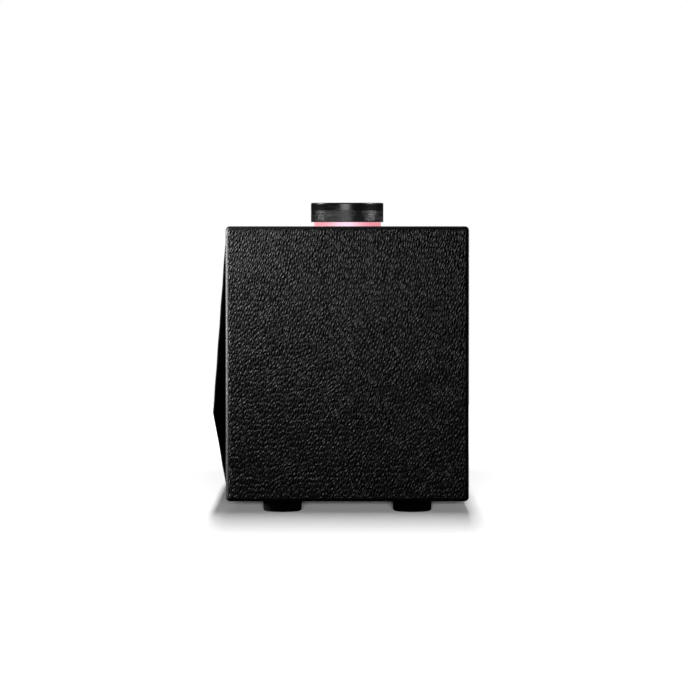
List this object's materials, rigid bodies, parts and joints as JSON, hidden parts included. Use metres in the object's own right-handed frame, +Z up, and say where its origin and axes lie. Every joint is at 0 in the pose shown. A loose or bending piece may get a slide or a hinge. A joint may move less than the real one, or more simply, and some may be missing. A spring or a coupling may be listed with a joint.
{
  "type": "leather portable radio",
  "caption": "Compact leather-covered portable radio with a peaked cloth grille, a knurled volume knob on a lit ring, rubber feet and a stowed telescopic aerial.",
  "frame": {"origin": "middle of the overall footprint, on the plane the feet rest on", "axes": "+Z up, -Y towards the listener (grille), +X to the listener's right seen from the front, along the long side"},
  "size_m": [0.262, 0.153, 0.1858],
  "materials": {
    "leather": "black pebble-grain leather, low satin sheen",
    "board": "bare fibreboard",
    "batten": "sawn pine batten",
    "gasket_foam": "closed-cell foam strip",
    "grille_cloth": "stretched black acoustic cloth",
    "black_plastic": "fine-textured black moulding",
    "gloss_black": "smooth black moulding",
    "rubber": "matt black rubber",
    "soft_rubber": "soft rubber roll",
    "button_rubber": "satin black rubber cap with a pale icon",
    "knob_metal": "black anodised, satin, knurled grip",
    "black_metal": "black powder coat",
    "black_steel": "blackened steel",
    "plated_steel": "zinc plated",
    "chrome": "polished chrome",
    "ferrite": "sintered ferrite",
    "cone_paper": "black felted paper pulp",
    "spider_cloth": "resin-stiffened corrugated cloth",
    "silk": "coated silk",
    "copper": "enamelled copper winding",
    "circuit_board": "green solder mask",
    "component_black": "moulded component cases",
    "heat_sink": "extruded, natural",
    "brass": "turned brass",
    "cell_sleeve": "blue shrink sleeve",
    "cable_sleeve": "soft insulated lead",
    "lit_ring": "translucent diffuser, lit red-pink from below"
  },
  "bodies": {
    "cabinet": {"cabinet_shell": "board", "leather_wrap": "leather", "front_cleat": "batten", "rear_cleat": "batten", "rear_gasket": "gasket_foam", "front_baffle": "board", "grille_grommets": "rubber", "woofer_basket": "black_metal", "woofer_magnet": "ferrite", "woofer_pole_yoke": "plated_steel", "woofer_top_plate": "plated_steel", "woofer_surround": "soft_rubber", "woofer_spider": "spider_cloth", "driver_screws": "black_steel", "tweeter_left_frame": "black_plastic", "tweeter_left_dome": "silk", "tweeter_left_motor": "black_metal", "tweeter_right_frame": "black_plastic", "tweeter_right_dome": "silk", "tweeter_right_motor": "black_metal", "rear_panel": "black_plastic", "rear_panel_screws": "black_steel", "port_tube": "black_plastic", "aux_jack": "gloss_black", "usb_socket": "plated_steel", "main_board": "circuit_board", "board_components": "component_black", "heat_sink": "heat_sink", "board_standoffs": "brass", "battery_cells": "cell_sleeve", "battery_tray": "black_plastic", "encoder_body": "plated_steel", "encoder_nut": "plated_steel", "encoder_bracket": "plated_steel", "light_ring": "lit_ring", "led_board": "circuit_board", "button_bezels": "knob_metal", "button_boards": "circuit_board", "foot_front_left": "rubber", "foot_front_right": "rubber", "foot_rear_left": "rubber", "foot_rear_right": "rubber", "foot_screws": "black_steel", "antenna_guide": "black_plastic", "wiring_harness": "cable_sleeve"},
    "grille": {"grille_frame": "black_plastic", "grille_cloth": "grille_cloth"},
    "cone": {"woofer_cone": "cone_paper", "woofer_dust_cap": "cone_paper", "woofer_voice_coil": "copper"},
    "knob_plunger": {"encoder_plunger": "black_plastic"},
    "knob": {"encoder_shaft": "plated_steel", "knob_cap": "knob_metal"},
    "power_button": {"button_power": "button_rubber"},
    "source_button": {"button_source": "button_rubber"},
    "back_button": {"button_back": "button_rubber"},
    "forward_button": {"button_forward": "button_rubber"},
    "aerial_lower": {"antenna_lower": "chrome"},
    "aerial_middle": {"antenna_middle": "chrome"},
    "aerial_tip": {"antenna_tip": "chrome"}
  },
  "joints": [
    {"name": "grille_pull", "type": "slide", "parent": "cabinet", "child": "grille", "axis": [0, -1, 0], "range_m": [0, 0.04]},
    {"name": "cone_travel", "type": "slide", "parent": "cabinet", "child": "cone", "axis": [0, -1, 0], "range_m": [-0.0025, 0.0025], "stiffness_N_per_m": 1200, "deforming": ["woofer_surround", "woofer_spider"]},
    {"name": "knob_press", "type": "slide", "parent": "cabinet", "child": "knob_plunger", "axis": [0, 0, -1], "range_m": [0, 0.0008], "stiffness_N_per_m": 4000, "springref_m": -0.0003},
    {"name": "knob_turn", "type": "hinge", "parent": "knob_plunger", "child": "knob", "pos_m": [0, 0.004, 0.18], "axis": [0, 0, 1], "continuous": true},
    {"name": "power_press", "type": "slide", "parent": "cabinet", "child": "power_button", "axis": [0, 0, -1], "range_m": [0, 0.0008], "stiffness_N_per_m": 1200, "springref_m": -0.0004},
    {"name": "source_press", "type": "slide", "parent": "cabinet", "child": "source_button", "axis": [0, 0, -1], "range_m": [0, 0.0008], "stiffness_N_per_m": 1200, "springref_m": -0.0004},
    {"name": "back_press", "type": "slide", "parent": "cabinet", "child": "back_button", "axis": [0, 0, -1], "range_m": [0, 0.0008], "stiffness_N_per_m": 1200, "springref_m": -0.0004},
    {"name": "forward_press", "type": "slide", "parent": "cabinet", "child": "forward_button", "axis": [0, 0, -1], "range_m": [0, 0.0008], "stiffness_N_per_m": 1200, "springref_m": -0.0004},
    {"name": "aerial_lower_slide", "type": "slide", "parent": "cabinet", "child": "aerial_lower", "axis": [0, 0, 1], "range_m": [0, 0.11]},
    {"name": "aerial_middle_slide", "type": "slide", "parent": "aerial_lower", "child": "aerial_middle", "axis": [0, 0, 1], "range_m": [0, 0.108]},
    {"name": "aerial_tip_slide", "type": "slide", "parent": "aerial_middle", "child": "aerial_tip", "axis": [0, 0, 1], "range_m": [0, 0.106]}
  ]
}
